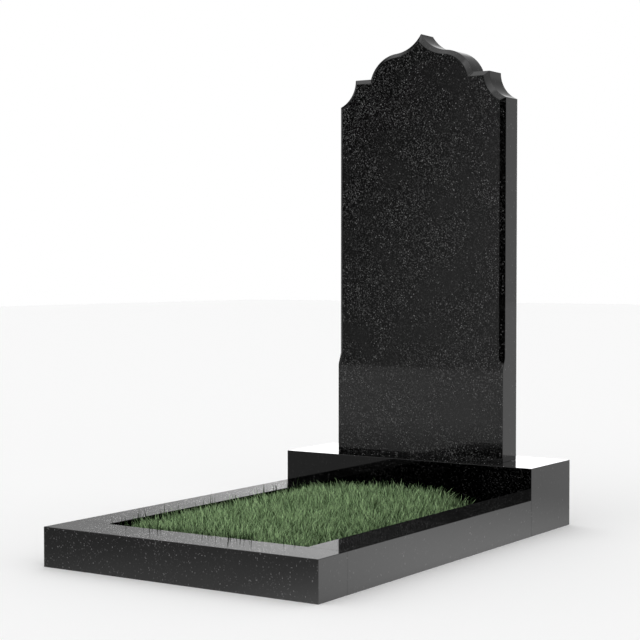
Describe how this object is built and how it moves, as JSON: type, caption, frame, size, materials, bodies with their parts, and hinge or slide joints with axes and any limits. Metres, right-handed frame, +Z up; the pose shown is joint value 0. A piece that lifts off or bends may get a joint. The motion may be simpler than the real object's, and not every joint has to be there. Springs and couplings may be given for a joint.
{
  "type": "headstone",
  "caption": "Upright polished black granite headstone with a pointed ogee top and chamfered face, on a block plinth, with a low kerb round a bed of short grass.",
  "frame": {"origin": "on the ground, under the middle of the whole memorial, which is half way from the kerb's front face to the plinth's back face", "axes": "+Z up, +Y from the kerb's front towards the headstone and the plinth's back, +X to the right as seen from the front"},
  "size_m": [0.65, 1.05, 1.1353],
  "materials": {
    "black_granite": "polished, fine pale speckles",
    "grass": "matte blades of short grass"
  },
  "bodies": {
    "root": {"stele": "black_granite", "plinth": "black_granite", "kerb_front_bar": "black_granite", "kerb_left_rail": "black_granite", "kerb_right_rail": "black_granite", "grass_bed": "grass"}
  },
  "joints": []
}
